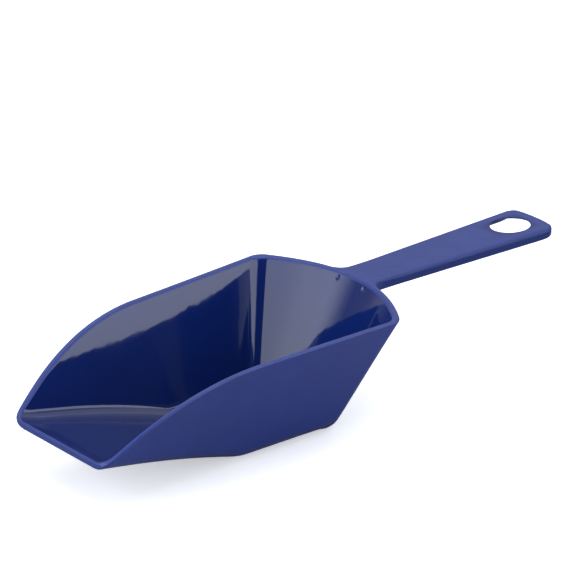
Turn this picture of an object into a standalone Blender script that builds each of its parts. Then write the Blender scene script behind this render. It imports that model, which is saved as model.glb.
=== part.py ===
"""Feed scoop: one injection moulding, a sloping-nosed bowl with a channel-section handle.

Working frame while building, in millimetres: x runs from the lip (0) to the handle tip (330), y = 0 is the
plane of symmetry, z = 0 is the flat base.  The finished mesh is moved so that x is centred, and scaled to metres.
"""

import bpy
import bmesh
import math

# ---------------------------------------------------------------- driving dimensions (mm)
LENGTH = 330.0            # lip to handle tip
RIM_Z = 64.2              # level part of the rim above the base
WALL = 3.1                # side, rear and floor thickness
LIP_T = 4.0               # thickness of the front lip
EDGE_R, LIP_R = 1.5, 1.1  # rounding of the rim and of the lip

# side walls: half width = W0 + W1*x + W2*z + BOW*((x-100)/100)^2
W0, W1, W2, BOW = 26.3, 0.043, 0.361, 0.95

# underside: flat behind FOLD_X, a gently domed ramp in front of it
FOLD_X = 95.6
FOLD_BLEND = 4.5
NOSE_Z = 26.5             # underside height at the lip
RAMP_DOME = 0.743e-3

# rear wall: x = R0 + R1*z - k*y^2, the bowing k eases off towards the rim
R0, R1 = 164.6, 0.561
K_RIM, K_EASE = 0.0065, 0.45
CORNER_TOP, CORNER_LOW = 7.8, 6.4    # outside radius of the rear corners, at the rim and at the base
CORNER_IN, CORNER_IN_LOW = 10.4, 8.0  # inside radius of the same corners
HEEL_EXTRA = 2.6          # they grow rounder where they run into the base
FILLET_IN = 10.8          # inside radius between floor and walls
FILLET_NOSE = 7.4         # the same at the lip
FILLET_OUT, FILLET_OUT_NOSE = 14.2, 11.8   # outside

# rim profile in side view: straight and level behind RIM_X, one cubic down to the lip
RIM_X = 90.1
RIM_EASE = 52.0
RIM_START_Z = 28.8
RIM_START_LEN = 7.85
RIM_START_ANGLE = math.radians(36.7)
CORNER_EASE = 4.0         # softening of the two lip corners

# handle: inverted channel, top flush with the rim
H_ROOT_X = 202.0
H_HALF_ROOT, H_HALF_TIP = 12.4, 17.6
H_DEPTH = 5.8
H_PLATE = 1.5
H_FLANGE = 1.7
TIP_RELIEF = 0.40         # the flange is this much shallower round the very tip
H_FLARE = 7.6             # plan radius where the handle grows out of the rear wall
H_EDGE_R = 2.3            # its upper edges are well rounded
ROOT_TIGHT, TIP_TIGHT = 0.5, 0.6   # and that much tighter at the root and round the tip
H_DROOP = 0.016           # the handle falls slightly towards its tip
DROOP_X = 211.0           # where it starts to
H_BITE = 0.2              # the flare runs slightly into the wall
H_TAIL = 1.8              # and the root ends inside it
TIP_R = 6.2
TIP_BULGE = 1.0
HOLE_X, HOLE_A, HOLE_B = 310.8, 11.9, 10.0
HOLE_R, HOLE_FLARE = 0.45, 1.7

# ---------------------------------------------------------------- mesh density
N_SIDE, N_CORNER, N_REAR = 26, 5, 9
N_FILLET, N_RISE = 5, 6   # rows in the floor fillet and above it
N_WALL = N_FILLET + N_RISE
N_FLOOR = 6
EDGE_SEG = 3
GRIP_SEG, HOLE_SEG = 4, 2
N_FLARE, N_GRIP, N_TIP, N_HOLE = 5, 12, 5, 18


def lerp(a, b, t):
    return a + (b - a) * t


def smooth(t):
    t = min(max(t, 0.0), 1.0)
    return t * t * (3.0 - 2.0 * t)


def floor_z(x):
    """Height of the underside."""
    s = FOLD_X - x
    if s <= -FOLD_BLEND:
        return 0.0
    if s < FOLD_BLEND:
        s = (s + FOLD_BLEND) ** 2 / (4.0 * FOLD_BLEND)
    return NOSE_Z / FOLD_X * s + RAMP_DOME * s * (FOLD_X - s)


def floor_t(x):
    """Vertical thickness of the floor, fuller towards the lip."""
    slope = (floor_z(x) - floor_z(x + 0.5)) / 0.5
    return lerp(LIP_T, WALL, smooth(x / 12.0)) * math.sqrt(1.0 + slope * slope)


def fillet_r(q, x, inner):
    a, b = (FILLET_NOSE, FILLET_IN) if inner else (FILLET_OUT_NOSE, FILLET_OUT)
    r = lerp(a, b, smooth(x / 70.0))
    corner = smooth((q - 0.9) / 0.3) * smooth((2.3 - q) / 0.6)
    return r * (1.0 - (0.10 if inner else 0.14) * corner)   # tighter where it turns round the rear corners


def half_width(x, z):
    return W0 + W1 * x + W2 * z + BOW * ((x - 100.0) / 100.0) ** 2


def rear_k(z):
    return K_RIM * (1.0 + K_EASE * (1.0 - z / RIM_Z))


def bezier(p0, p1, p2, p3, t):
    u = 1.0 - t
    return tuple(u * u * u * a + 3 * u * u * t * b + 3 * u * t * t * c + t * t * t * d
                 for a, b, c, d in zip(p0, p1, p2, p3))


def rim_z(x):
    """Height of the rim's outer edge."""
    if x >= RIM_X:
        return RIM_Z
    p0 = (0.0, RIM_START_Z)
    p1 = (RIM_START_LEN * math.cos(RIM_START_ANGLE), RIM_START_Z + RIM_START_LEN * math.sin(RIM_START_ANGLE))
    p2 = (RIM_X - RIM_EASE, RIM_Z)
    p3 = (RIM_X, RIM_Z)
    lo, hi = 0.0, 1.0
    for _ in range(40):
        m = 0.5 * (lo + hi)
        if bezier(p0, p1, p2, p3, m)[0] < x:
            lo = m
        else:
            hi = m
    return bezier(p0, p1, p2, p3, lo)[1]


def side_slope(x):
    return W1 + 2.0 * BOW * (x - 100.0) / 1e4


_plan = {}


def plan(z, inner):
    """Rear corner of the plan curve at height z: centre, radius, end angles and tangent points."""
    key = (round(z, 5), inner)
    if key in _plan:
        return _plan[key]
    k = rear_k(z)
    radius = (lerp(CORNER_IN_LOW, CORNER_IN, z / RIM_Z) if inner else lerp(CORNER_LOW, CORNER_TOP, z / RIM_Z))
    radius += HEEL_EXTRA * max(0.0, 1.0 - z / 14.0) ** 2
    off_rear = WALL * math.sqrt(1 + R1 * R1) if inner else 0.0
    off_side = WALL * math.sqrt(1 + W2 * W2) if inner else 0.0
    lo, hi = 2.0, 80.0
    for _ in range(60):
        y = 0.5 * (lo + hi)
        n = math.hypot(1.0, 2 * k * y)
        cx = R0 + R1 * z - k * y * y - (off_rear + radius) / n
        cy = y - (off_rear + radius) * 2 * k * y / n
        s = side_slope(cx)
        if cy + (off_side + radius) * math.sqrt(1 + s * s) > half_width(cx, z):
            hi = y
        else:
            lo = y
    s = side_slope(cx)
    out = dict(cx=cx, cy=cy, r=radius, a_rear=math.atan2(2 * k * y, 1.0), a_side=math.atan2(1.0, -s), y=y,
               xs=cx - (off_side + radius) * s / math.sqrt(1 + s * s), off_rear=off_rear, off_side=off_side)
    _plan[key] = out
    return out


X_SIDE = plan(0.0, False)["xs"]


def side_x(xs, z, inner):
    """Grid columns of the side walls lean back as they near the rear corner."""
    return xs + (plan(z, inner)["xs"] - X_SIDE) * smooth((xs - 55.0) / (X_SIDE - 55.0))


def wall_plan(q, z, inner):
    """Wall at height z.  q in 0..1 side wall, 1..2 corner, 2..3 rear wall.  Returns x, y, normal."""
    p = plan(z, inner)
    if q <= 1.0:
        x = side_x(q * X_SIDE, z, inner)
        s = side_slope(x) * smooth(x / 30.0)   # square to the lip at the front
        n = math.sqrt(1 + s * s)
        off = p["off_side"]
        return x + off * s / n, half_width(x, z) - off / n, -s / n, 1.0 / n
    if q <= 2.0:
        a = lerp(p["a_side"], p["a_rear"], q - 1.0)
        return p["cx"] + p["r"] * math.cos(a), p["cy"] + p["r"] * math.sin(a), math.cos(a), math.sin(a)
    y = p["y"] * (3.0 - q)
    k = rear_k(z)
    n = math.hypot(1.0, 2 * k * y)
    off = p["off_rear"]
    return R0 + R1 * z - k * y * y - off / n, y - off * 2 * k * y / n, 1.0 / n, 2 * k * y / n


def lean(q, z):
    """Tangent of the wall's lean from vertical, in the plane of its normal."""
    x0, y0, nx, ny = wall_plan(q, z - 0.5, False)
    x1, y1, _, _ = wall_plan(q, z + 0.5, False)
    return (x1 - x0) * nx + (y1 - y0) * ny


def station(q, inner):
    """Constants of one upright profile: floor level, fillet and lengths along the surface."""
    x0 = wall_plan(q, 0.0, inner)[0]
    zf = floor_z(x0)
    x0 = wall_plan(q, zf, inner)[0]
    zf = floor_z(x0)
    t = lean(q, zf + 15.0)
    a = math.atan(t)
    r = fillet_r(q, x0, inner)
    if inner:
        zf = zf + floor_t(x0)
    th = math.pi / 2 - a
    nc = r * (math.sin(a) - 1.0) / math.cos(a)
    return dict(q=q, inner=inner, zf=zf, a=a, r=r, th=th, nc=nc, sf=r * th, zt=zf + r * (1 - math.sin(a)))


def surface(st, s):
    """Point at distance s up the surface, measured from the start of the floor fillet (far side, y > 0)."""
    q, r = st["q"], st["r"]
    if s < st["sf"]:
        th = s / r
        z = st["zf"] + r * (1 - math.cos(th))
        inset = (z - st["zf"]) * math.tan(st["a"]) - (st["nc"] + r * math.sin(th))
    else:
        z = min(st["zt"] + (s - st["sf"]) * math.cos(st["a"]), RIM_Z)
        inset = 0.0
    x, y, nx, ny = wall_plan(q, z, st["inner"])
    return (x - nx * inset, y - ny * inset, z)


def rim_length(st):
    """Surface length from the fillet start to the rim's sharp edge."""
    q = st["q"]
    z = RIM_Z
    for _ in range(6):
        x = wall_plan(q, z, st["inner"])[0]
        z = rim_z(x) + (3.0 * math.exp(-x / 4.0) if st["inner"] else 0.0)
        z = min(z, RIM_Z)
    if z < st["zt"]:
        return st["r"] * math.acos(1 - (z - st["zf"]) / st["r"])
    return st["sf"] + (z - st["zt"]) / math.cos(st["a"])


def row_lengths(st, top):
    """Row positions from the rim (first) down to the start of the floor fillet (last, 0)."""
    sf = min(st["sf"], 0.6 * top)
    return ([lerp(top, sf, k / N_RISE) for k in range(N_RISE)]
            + [sf * (1 - k / N_FILLET) for k in range(N_FILLET + 1)])


def edge_r(x):
    return lerp(LIP_R, EDGE_R, smooth(x / 16.0))


def columns():
    """Column parameters, closer together where the rim curves."""
    out = []
    for i in range(N_SIDE + 1):
        t = i / N_SIDE
        out.append((LIP_R + (X_SIDE - LIP_R) * (0.72 * t + 0.28 * t * t)) / X_SIDE)
    out += [1.0 + (i + 1) / N_CORNER for i in range(N_CORNER)]
    out += [2.0 + (i + 1) / N_REAR for i in range(N_REAR)]
    return out


def corner_softening(sc, slope, r=CORNER_EASE):
    """Quadratic easing of the lip corner in the unrolled (x, s) sheet; returns two tables."""
    n = math.hypot(1.0, slope)
    a, c, d = (0.0, sc - r), (0.0, sc), (r / n, sc + r * slope / n)
    pts = []
    for i in range(41):
        t = i / 40
        pts.append(tuple((1 - t) ** 2 * p + 2 * t * (1 - t) * m + t * t * e for p, m, e in zip(a, c, d)))
    return pts


def interp(x, xs, ys):
    if x <= xs[0]:
        return ys[0]
    for i in range(1, len(xs)):
        if x <= xs[i]:
            f = (x - xs[i - 1]) / (xs[i] - xs[i - 1] + 1e-12)
            return lerp(ys[i - 1], ys[i], f)
    return ys[-1]


def build_sheet(inner):
    """Grid of one skin of the bowl plus the sharp edge line beyond its border.

    rows[c][k]: k = 0 at the rim ... N_WALL at the start of the floor, then floor points to y = 0.
    edge[b]: sharp edge point for each border vertex, border order = rim from rear centre to the lip corner,
    then along the lip to y = 0.
    """
    cols = columns()
    stations = [station(q, inner) for q in cols]
    lens = [rim_length(s) for s in stations]
    first = station(0.0, inner)
    sc = rim_length(first)
    slope = (rim_length(station(6.0 / X_SIDE, inner)) - sc) / 6.0
    ease = corner_softening(sc, slope)
    half = len(ease) // 2
    front = ease[:half + 1]
    side = ease[half:]
    rows, rim_edge = [], []
    for c, (q, st, ln) in enumerate(zip(cols, stations, lens)):
        x = q * X_SIDE
        e = edge_r(x)
        if q <= 1.0:
            h = 1.5
            l0 = rim_length(station(max(q - h / X_SIDE, 0.0), inner))
            l1 = rim_length(station(min(q + h / X_SIDE, 1.0), inner))
            d = (l1 - l0) / ((min(q + h / X_SIDE, 1.0) - max(q - h / X_SIDE, 0.0)) * X_SIDE)
            if x < side[-1][0]:
                ln_e = interp(x, [p[0] for p in side], [p[1] for p in side])
            else:
                ln_e = ln
        else:
            d = 0.0
            ln_e = ln
        n = math.hypot(1.0, d)
        top = ln_e - e * n
        # sharp edge point, square to the rim in the unrolled sheet
        if q <= 1.0 and d > 1e-6:
            qe = max(q - e * d / n / X_SIDE, 0.0)
            se = top + e / n
            pe = surface(station(qe, inner), se)
        else:
            pe = surface(st, top + e)
        rim_edge.append(pe)
        rows.append([surface(st, s) for s in row_lengths(st, top)])
        rows[-1].append(("st", st, top))
    # front line: sharp edge points along the lip for every row of the first column
    st0, top0 = rows[0][-1][1], rows[0][-1][2]
    front_edge = []
    first_rows = row_lengths(st0, top0)
    for s in first_rows:
        s_e = s * front[-1][1] / top0
        x_e = interp(s_e, [p[1] for p in front], [p[0] for p in front])
        front_edge.append(surface(station(x_e / X_SIDE, inner), s_e))
    rim_edge[0] = front_edge[0]
    # push the first column back where the corner is eased
    q0 = cols[0]
    for k, s in enumerate(first_rows):
        x_e = interp(s * front[-1][1] / top0, [p[1] for p in front], [p[0] for p in front])
        rows[0][k] = surface(station(q0 + 0.8 * x_e / X_SIDE, inner), s)
    # floor points to the plane of symmetry; behind the fold they fan out forwards
    level = FOLD_X + FOLD_BLEND + 0.5
    x_a = rows[N_SIDE][-2][0]
    x_b = rows[-1][-2][0]
    x_m = level + 0.4 * (x_a - level)
    for c, row in enumerate(rows):
        row.pop()
        x, y, z = row[N_WALL]
        if c <= N_SIDE:
            mid = x if x <= level else level + 0.4 * (x - level)
        else:
            mid = lerp(x_m, x_b, (c - N_SIDE) / (len(rows) - 1 - N_SIDE))
        for j in range(1, N_FLOOR + 1):
            row.append((lerp(x, mid, j / N_FLOOR), y * (1 - j / N_FLOOR), z))
    fx, fy, fz = front_edge[N_WALL]
    lip_edge = [(fx, fy * (1 - j / N_FLOOR), fz) for j in range(1, N_FLOOR + 1)]
    # border, from the rear centre round to the middle of the lip
    border = list(reversed(rim_edge)) + front_edge[1:] + lip_edge
    return rows, border


def arc_points(q, e, f, seg):
    """Circular-looking rounding from q to f with its corner at e, ends included."""
    v1 = [a - b for a, b in zip(q, e)]
    v2 = [a - b for a, b in zip(f, e)]
    l1 = math.sqrt(sum(a * a for a in v1))
    l2 = math.sqrt(sum(a * a for a in v2))
    c = sum(a * b for a, b in zip(v1, v2)) / (l1 * l2)
    w = math.sqrt(max(0.0, (1 - c) / 2))      # sine of half the corner angle
    out = []
    for i in range(seg + 1):
        t = i / seg
        b0, b1, b2 = (1 - t) ** 2, 2 * t * (1 - t) * w, t * t
        s = b0 + b1 + b2
        out.append(tuple((b0 * a + b1 * m + b2 * d) / s for a, m, d in zip(q, e, f)))
    return out


class Builder:
    """Collects vertices and faces; points on the plane of symmetry are shared by both halves."""

    def __init__(self):
        self.bm = bmesh.new()
        self.cache = {}

    def v(self, p):
        key = (round(p[0], 4), round(p[1], 4), round(p[2], 4))
        if key not in self.cache:
            self.cache[key] = self.bm.verts.new(p)
        return self.cache[key]

    def face(self, pts):
        vs = []
        for p in pts:
            v = self.v(p)
            if v not in vs:
                vs.append(v)
        if len(vs) > 2 and self.bm.faces.get(vs) is None:
            self.bm.faces.new(vs)

    def both(self, pts):
        """One face and its mirror image."""
        self.face(pts)
        self.face([(p[0], -p[1], p[2]) for p in reversed(pts)])

    def strip(self, a, b):
        for i in range(len(a) - 1):
            self.both([a[i], a[i + 1], b[i + 1], b[i]])


def flat(p):
    return (p[0], 0.0 if abs(p[1]) < 1e-6 else p[1], p[2])


def build_bowl():
    b = Builder()
    outer, edge_o = build_sheet(False)
    inner, edge_i = build_sheet(True)
    outer = [[flat(p) for p in row] for row in outer]
    inner = [[flat(p) for p in row] for row in inner]
    edge_o = [flat(p) for p in edge_o]
    edge_i = [flat(p) for p in edge_i]
    last = len(outer) - 1
    for grid, flip in ((outer, False), (inner, True)):
        for c in range(last):
            for k in range(len(grid[0]) - 1):
                quad = [grid[c][k], grid[c][k + 1], grid[c + 1][k + 1], grid[c + 1][k]]
                b.both(quad if not flip else quad[::-1])
    # rounded border joining the two skins
    loop_o = [outer[c][0] for c in range(last, -1, -1)] + outer[0][1:]
    loop_i = [inner[c][0] for c in range(last, -1, -1)] + inner[0][1:]
    prev = None
    for qo, eo, ei, qi in zip(loop_o, edge_o, edge_i, loop_i):
        w = math.dist(eo, ei)
        u = [(m - n) / w for m, n in zip(ei, eo)]
        r = edge_r(eo[0])
        fo = tuple(n + r * d for n, d in zip(eo, u))
        fi = tuple(m - r * d for m, d in zip(ei, u))
        line = arc_points(qo, eo, fo, EDGE_SEG) + arc_points(fi, ei, qi, EDGE_SEG)
        line = [flat(p) for p in line]
        if prev:
            b.strip(prev, line)
        prev = line
    bmesh.ops.recalc_face_normals(b.bm, faces=b.bm.faces)
    return b.bm


def handle_half(x):
    return lerp(H_HALF_ROOT, H_HALF_TIP, (x - H_ROOT_X) / (LENGTH - H_ROOT_X))


def handle_outline(z, inset):
    """Half outline (y >= 0) of the handle at height z, from inside the rear wall to the tip on y = 0."""
    k = rear_k(z)
    yc = handle_half(H_ROOT_X + H_FLARE) + H_FLARE
    s = 2 * k * yc
    n = math.hypot(1.0, s)
    cx = R0 + R1 * z - k * yc * yc - H_BITE + H_FLARE * n
    r = H_FLARE + inset
    a1 = math.pi + math.atan2(s, 1.0) + math.acos(min(1.0, (H_FLARE - H_BITE + 1.4) / r))
    pts = []
    for i in range(N_FLARE + 1):
        a = lerp(a1, 1.5 * math.pi, i / N_FLARE)
        pts.append((cx + r * math.cos(a), yc + r * math.sin(a)))
    x0, y0 = pts[0]
    pts.insert(0, (R0 + R1 * z - k * (y0 + 0.8) ** 2 - H_TAIL, y0 + 0.8))
    # straight side, then the corner and the slightly bulged end
    ye = H_HALF_TIP - TIP_R
    rb = (ye * ye + TIP_BULGE * TIP_BULGE) / (2 * TIP_BULGE)
    beta = math.asin(ye / rb)
    xc = LENGTH - TIP_BULGE - TIP_R * math.cos(beta)
    for i in range(1, N_GRIP + 1):
        x = lerp(cx, xc, i / N_GRIP)
        pts.append((x, handle_half(x) - inset))
    yct = handle_half(xc) - TIP_R
    for i in range(1, N_TIP + 1):
        a = lerp(math.pi / 2, beta, i / N_TIP)
        pts.append((xc + (TIP_R - inset) * math.cos(a), yct + (TIP_R - inset) * math.sin(a)))
    x1, y1 = pts[-1]
    for i in range(1, 5):
        f = i / 4
        pts.append((lerp(x1, LENGTH - inset, 1 - (1 - f) ** 2), y1 * (1 - f)))
    return [(x, y, z) for x, y in pts]


def droop(p):
    """The grip leaves the rim level and then falls gently."""
    x = p[0] - DROOP_X
    d = 0.0 if x <= 0 else (x * x / 16.0 if x < 8.0 else x - 4.0)
    z, under = p[2], RIM_Z - H_PLATE
    if z < under:
        z = under + (z - under) * (1.0 - TIP_RELIEF * smooth((p[0] - LENGTH + 9.0) / 8.0))
    return (p[0], 0.0 if abs(p[1]) < 1e-6 else p[1], z - H_DROOP * d)


def half_ellipse(grow, z):
    out = []
    for i in range(N_HOLE + 1):
        a = math.pi * i / N_HOLE
        out.append((HOLE_X + (HOLE_A + grow) * math.cos(a), (HOLE_B + grow) * math.sin(a), z))
    return out


def build_handle():
    """The handle as its own closed solid; its root is buried in the thickness of the rear wall."""
    b = Builder()
    loops = []
    for i in range(GRIP_SEG + 1):              # rounded top edge, tighter round the tip
        a = 0.5 * math.pi * i / GRIP_SEG
        drop, ins = H_EDGE_R * (1 - math.cos(a)), H_EDGE_R * (1 - math.sin(a))
        line = []
        for p, q in zip(handle_outline(RIM_Z - drop, 0.0), handle_outline(RIM_Z - drop, ins)):
            g = lerp(1.0 - ROOT_TIGHT, 1.0, smooth((p[0] - H_ROOT_X) / 18.0))
            g -= TIP_TIGHT * smooth((p[0] - LENGTH + 5.0) / 4.5)
            line.append((lerp(p[0], q[0], g), lerp(p[1], q[1], g), RIM_Z - g * drop))
        loops.append(line)
    bottom = RIM_Z - H_DEPTH
    under = RIM_Z - H_PLATE
    loops += [handle_outline(z, ins) for z, ins in
              ((bottom + 0.4, 0.0), (bottom, 0.4),
               (bottom, 0.7), (bottom + 1.3, H_FLANGE - 0.2),
               (under - 0.8, H_FLANGE), (under, H_FLANGE + 0.8))]
    loops = [[droop(p) for p in loop] for loop in loops]
    for a, c in zip(loops, loops[1:]):
        b.strip(a, c)
    top, low = loops[0], loops[-1]
    # buried end
    ends = []
    for loop, z in ((top, RIM_Z), (low, under)):
        y1 = loop[0][1]
        ends.append([(R0 + R1 * z - rear_k(z) * y * y - H_TAIL, y, z)
                     for y in (y1 * i / 4 for i in range(4))] + [loop[0]])
    b.strip(ends[0], ends[1])
    b.both([loop[0] for loop in loops])
    # hanging hole: rounded above, chamfered below
    hole = []
    for i in range(HOLE_SEG + 1):
        a = 0.5 * math.pi * i / HOLE_SEG
        hole.append(half_ellipse(HOLE_R * (1 - math.sin(a)), RIM_Z - HOLE_R * (1 - math.cos(a))))
    hole.append(half_ellipse(HOLE_FLARE, under))
    hole = [[droop(p) for p in h] for h in hole]
    for a, c in zip(hole, hole[1:]):
        b.strip(a, c)
    # plate, above and below
    for loop, end, rim in ((top, ends[0], hole[0]), (low, ends[1], hole[-1])):
        first = 1 + N_FLARE
        grid = loop[first:first + N_GRIP - 2]
        mid = [droop((p[0], 0.0, loop[0][2])) for p in grid]
        b.both(end + loop[1:first + 1] + [mid[0]])
        for i in range(len(grid) - 1):
            b.both([mid[i], grid[i], grid[i + 1], mid[i + 1]])
        b.both([mid[-1]] + loop[first + N_GRIP - 3:] + rim)
    bmesh.ops.recalc_face_normals(b.bm, faces=b.bm.faces)
    return b.bm


# ---------------------------------------------------------------- objects
def to_object(bm, name, collection):
    for v in bm.verts:
        v.co.x = (v.co.x - LENGTH / 2) * 0.001
        v.co.y *= 0.001
        v.co.z *= 0.001
    me = bpy.data.meshes.new(name)
    bm.to_mesh(me)
    bm.free()
    for p in me.polygons:
        p.use_smooth = True
    ob = bpy.data.objects.new(name, me)
    collection.objects.link(ob)
    return ob


def new_collection(name):
    old = bpy.data.collections.get(name)
    if old is not None:
        bpy.data.collections.remove(old)
    col = bpy.data.collections.new(name)
    bpy.context.scene.collection.children.link(col)
    return col


def main():
    for ob in list(bpy.data.objects):
        bpy.data.objects.remove(ob, do_unlink=True)
    parts = new_collection("feed_scoop")
    tools = new_collection("cutters")

    scoop = to_object(build_bowl(), "scoop_moulding", parts)
    grip = to_object(build_handle(), "handle_blank", tools)
    grip.hide_render = True
    grip.display_type = "WIRE"

    union = scoop.modifiers.new("handle", "BOOLEAN")
    union.operation = "UNION"
    union.solver = "EXACT"
    union.object = grip

    mat = bpy.data.materials.new("navy_polypropylene")
    mat.use_nodes = True
    bsdf = mat.node_tree.nodes["Principled BSDF"]
    bsdf.inputs["Base Color"].default_value = (0.012, 0.032, 0.135, 1.0)
    bsdf.inputs["Roughness"].default_value = 0.3
    bsdf.inputs["IOR"].default_value = 1.49
    scoop.data.materials.append(mat)
    tools.hide_render = True


main()
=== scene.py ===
"""Feed scoop, visual model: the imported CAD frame, the moulding rebuilt at a finer density with its finishes, floor, light, camera."""

import bpy
import bmesh
import math
from mathutils import Matrix, Vector
from mathutils.kdtree import KDTree


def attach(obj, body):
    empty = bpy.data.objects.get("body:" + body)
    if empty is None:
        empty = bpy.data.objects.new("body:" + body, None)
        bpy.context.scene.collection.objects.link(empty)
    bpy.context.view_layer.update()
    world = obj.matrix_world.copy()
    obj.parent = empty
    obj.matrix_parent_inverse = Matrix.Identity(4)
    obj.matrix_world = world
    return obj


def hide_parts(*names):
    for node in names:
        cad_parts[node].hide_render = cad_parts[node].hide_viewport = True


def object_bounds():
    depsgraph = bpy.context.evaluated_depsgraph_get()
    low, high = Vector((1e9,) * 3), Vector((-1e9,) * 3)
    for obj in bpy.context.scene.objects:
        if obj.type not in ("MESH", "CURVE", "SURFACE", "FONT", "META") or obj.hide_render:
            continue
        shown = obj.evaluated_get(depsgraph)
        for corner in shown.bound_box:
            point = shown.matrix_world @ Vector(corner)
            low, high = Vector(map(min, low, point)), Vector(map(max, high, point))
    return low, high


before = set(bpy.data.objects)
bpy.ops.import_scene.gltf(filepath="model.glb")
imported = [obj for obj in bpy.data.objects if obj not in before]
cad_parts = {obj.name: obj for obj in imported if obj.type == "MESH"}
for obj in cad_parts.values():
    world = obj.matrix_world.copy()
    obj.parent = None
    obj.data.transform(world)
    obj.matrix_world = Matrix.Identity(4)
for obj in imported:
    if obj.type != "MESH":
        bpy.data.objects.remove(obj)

CAD_LO, CAD_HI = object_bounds()

# ---------------------------------------------------------------- driving dimensions (mm)
LENGTH = 330.0            # lip to handle tip
RIM_Z = 64.2              # level part of the rim above the base
WALL = 3.1                # side, rear and floor thickness
LIP_T = 4.0               # thickness of the front lip
EDGE_R, LIP_R = 1.5, 1.1  # rounding of the rim and of the lip

# side walls: half width = W0 + W1*x + W2*z + BOW*((x-100)/100)^2
W0, W1, W2, BOW = 26.3, 0.043, 0.361, 0.95

# underside: flat behind FOLD_X, a gently domed ramp in front of it
FOLD_X = 95.6
FOLD_BLEND = 4.5
NOSE_Z = 26.5             # underside height at the lip
RAMP_DOME = 0.743e-3

# rear wall: x = R0 + R1*z - k*y^2, the bowing k eases off towards the rim
R0, R1 = 164.6, 0.561
K_RIM, K_EASE = 0.0065, 0.45
CORNER_TOP, CORNER_LOW = 7.8, 6.4    # outside radius of the rear corners, at the rim and at the base
CORNER_IN, CORNER_IN_LOW = 10.4, 8.0  # inside radius of the same corners
HEEL_EXTRA = 2.6          # they grow rounder where they run into the base
FILLET_IN = 10.8          # inside radius between floor and walls
FILLET_NOSE = 7.4         # the same at the lip
FILLET_OUT, FILLET_OUT_NOSE = 14.2, 11.8   # outside

# rim profile in side view: straight and level behind RIM_X, one cubic down to the lip
RIM_X = 90.1
RIM_EASE = 52.0
RIM_START_Z = 28.8
RIM_START_LEN = 7.85
RIM_START_ANGLE = math.radians(36.7)
CORNER_EASE = 4.0         # softening of the two lip corners

# handle: inverted channel, top flush with the rim
H_ROOT_X = 202.0
H_HALF_ROOT, H_HALF_TIP = 12.4, 17.6
H_DEPTH = 5.8
H_PLATE = 1.5
H_FLANGE = 1.7
TIP_RELIEF = 0.40         # the flange is this much shallower round the very tip
H_FLARE = 7.6             # plan radius where the handle grows out of the rear wall
H_EDGE_R = 2.3            # its upper edges are well rounded
ROOT_TIGHT, TIP_TIGHT = 0.5, 0.6   # and that much tighter at the root and round the tip
H_DROOP = 0.016           # the handle falls slightly towards its tip
DROOP_X = 211.0           # where it starts to
H_BITE = 0.2              # the flare runs slightly into the wall
H_TAIL = 1.8              # and the root ends inside it
TIP_R = 6.2
TIP_BULGE = 1.0
HOLE_X, HOLE_A, HOLE_B = 310.8, 11.9, 10.0
HOLE_R, HOLE_FLARE = 0.45, 1.7

# two small sinks inside the rear wall, opposite the handle's flanges
SINK_Y, SINK_DROP, SINK_W, SINK_R, SINK_DEPTH = 10.3, 3.0, 1.4, 1.6, 0.75

# ---------------------------------------------------------------- mesh density
N_SIDE, N_CORNER, N_REAR = 84, 16, 26
N_TOP, TOP_ZONE = 9, 6.0  # close rows just below the rim
N_FILLET, N_RISE = 16, 18  # rows in the floor fillet and above it
N_WALL = N_FILLET + N_RISE + N_TOP
N_FLOOR = 16
EDGE_SEG = 8
GRIP_SEG, HOLE_SEG = 10, 7
N_FLARE, N_GRIP, N_TIP, N_HOLE = 14, 34, 12, 48
SATIN, GLOSS = 0, 1       # material slots


def lerp(a, b, t):
    return a + (b - a) * t


def smooth(t):
    t = min(max(t, 0.0), 1.0)
    return t * t * (3.0 - 2.0 * t)


def floor_z(x):
    """Height of the underside."""
    s = FOLD_X - x
    if s <= -FOLD_BLEND:
        return 0.0
    if s < FOLD_BLEND:
        s = (s + FOLD_BLEND) ** 2 / (4.0 * FOLD_BLEND)
    return NOSE_Z / FOLD_X * s + RAMP_DOME * s * (FOLD_X - s)


def floor_t(x):
    """Vertical thickness of the floor, fuller towards the lip."""
    slope = (floor_z(x) - floor_z(x + 0.5)) / 0.5
    return lerp(LIP_T, WALL, smooth(x / 12.0)) * math.sqrt(1.0 + slope * slope)


def fillet_r(q, x, inner):
    a, b = (FILLET_NOSE, FILLET_IN) if inner else (FILLET_OUT_NOSE, FILLET_OUT)
    r = lerp(a, b, smooth(x / 70.0))
    corner = smooth((q - 0.9) / 0.3) * smooth((2.3 - q) / 0.6)
    return r * (1.0 - (0.10 if inner else 0.14) * corner)   # tighter where it turns round the rear corners


def half_width(x, z):
    return W0 + W1 * x + W2 * z + BOW * ((x - 100.0) / 100.0) ** 2


def rear_k(z):
    return K_RIM * (1.0 + K_EASE * (1.0 - z / RIM_Z))


def bezier(p0, p1, p2, p3, t):
    u = 1.0 - t
    return tuple(u * u * u * a + 3 * u * u * t * b + 3 * u * t * t * c + t * t * t * d
                 for a, b, c, d in zip(p0, p1, p2, p3))


def rim_z(x):
    """Height of the rim's outer edge."""
    if x >= RIM_X:
        return RIM_Z
    p0 = (0.0, RIM_START_Z)
    p1 = (RIM_START_LEN * math.cos(RIM_START_ANGLE), RIM_START_Z + RIM_START_LEN * math.sin(RIM_START_ANGLE))
    p2 = (RIM_X - RIM_EASE, RIM_Z)
    p3 = (RIM_X, RIM_Z)
    lo, hi = 0.0, 1.0
    for _ in range(40):
        m = 0.5 * (lo + hi)
        if bezier(p0, p1, p2, p3, m)[0] < x:
            lo = m
        else:
            hi = m
    return bezier(p0, p1, p2, p3, lo)[1]


def side_slope(x):
    return W1 + 2.0 * BOW * (x - 100.0) / 1e4


_plan = {}


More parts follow.
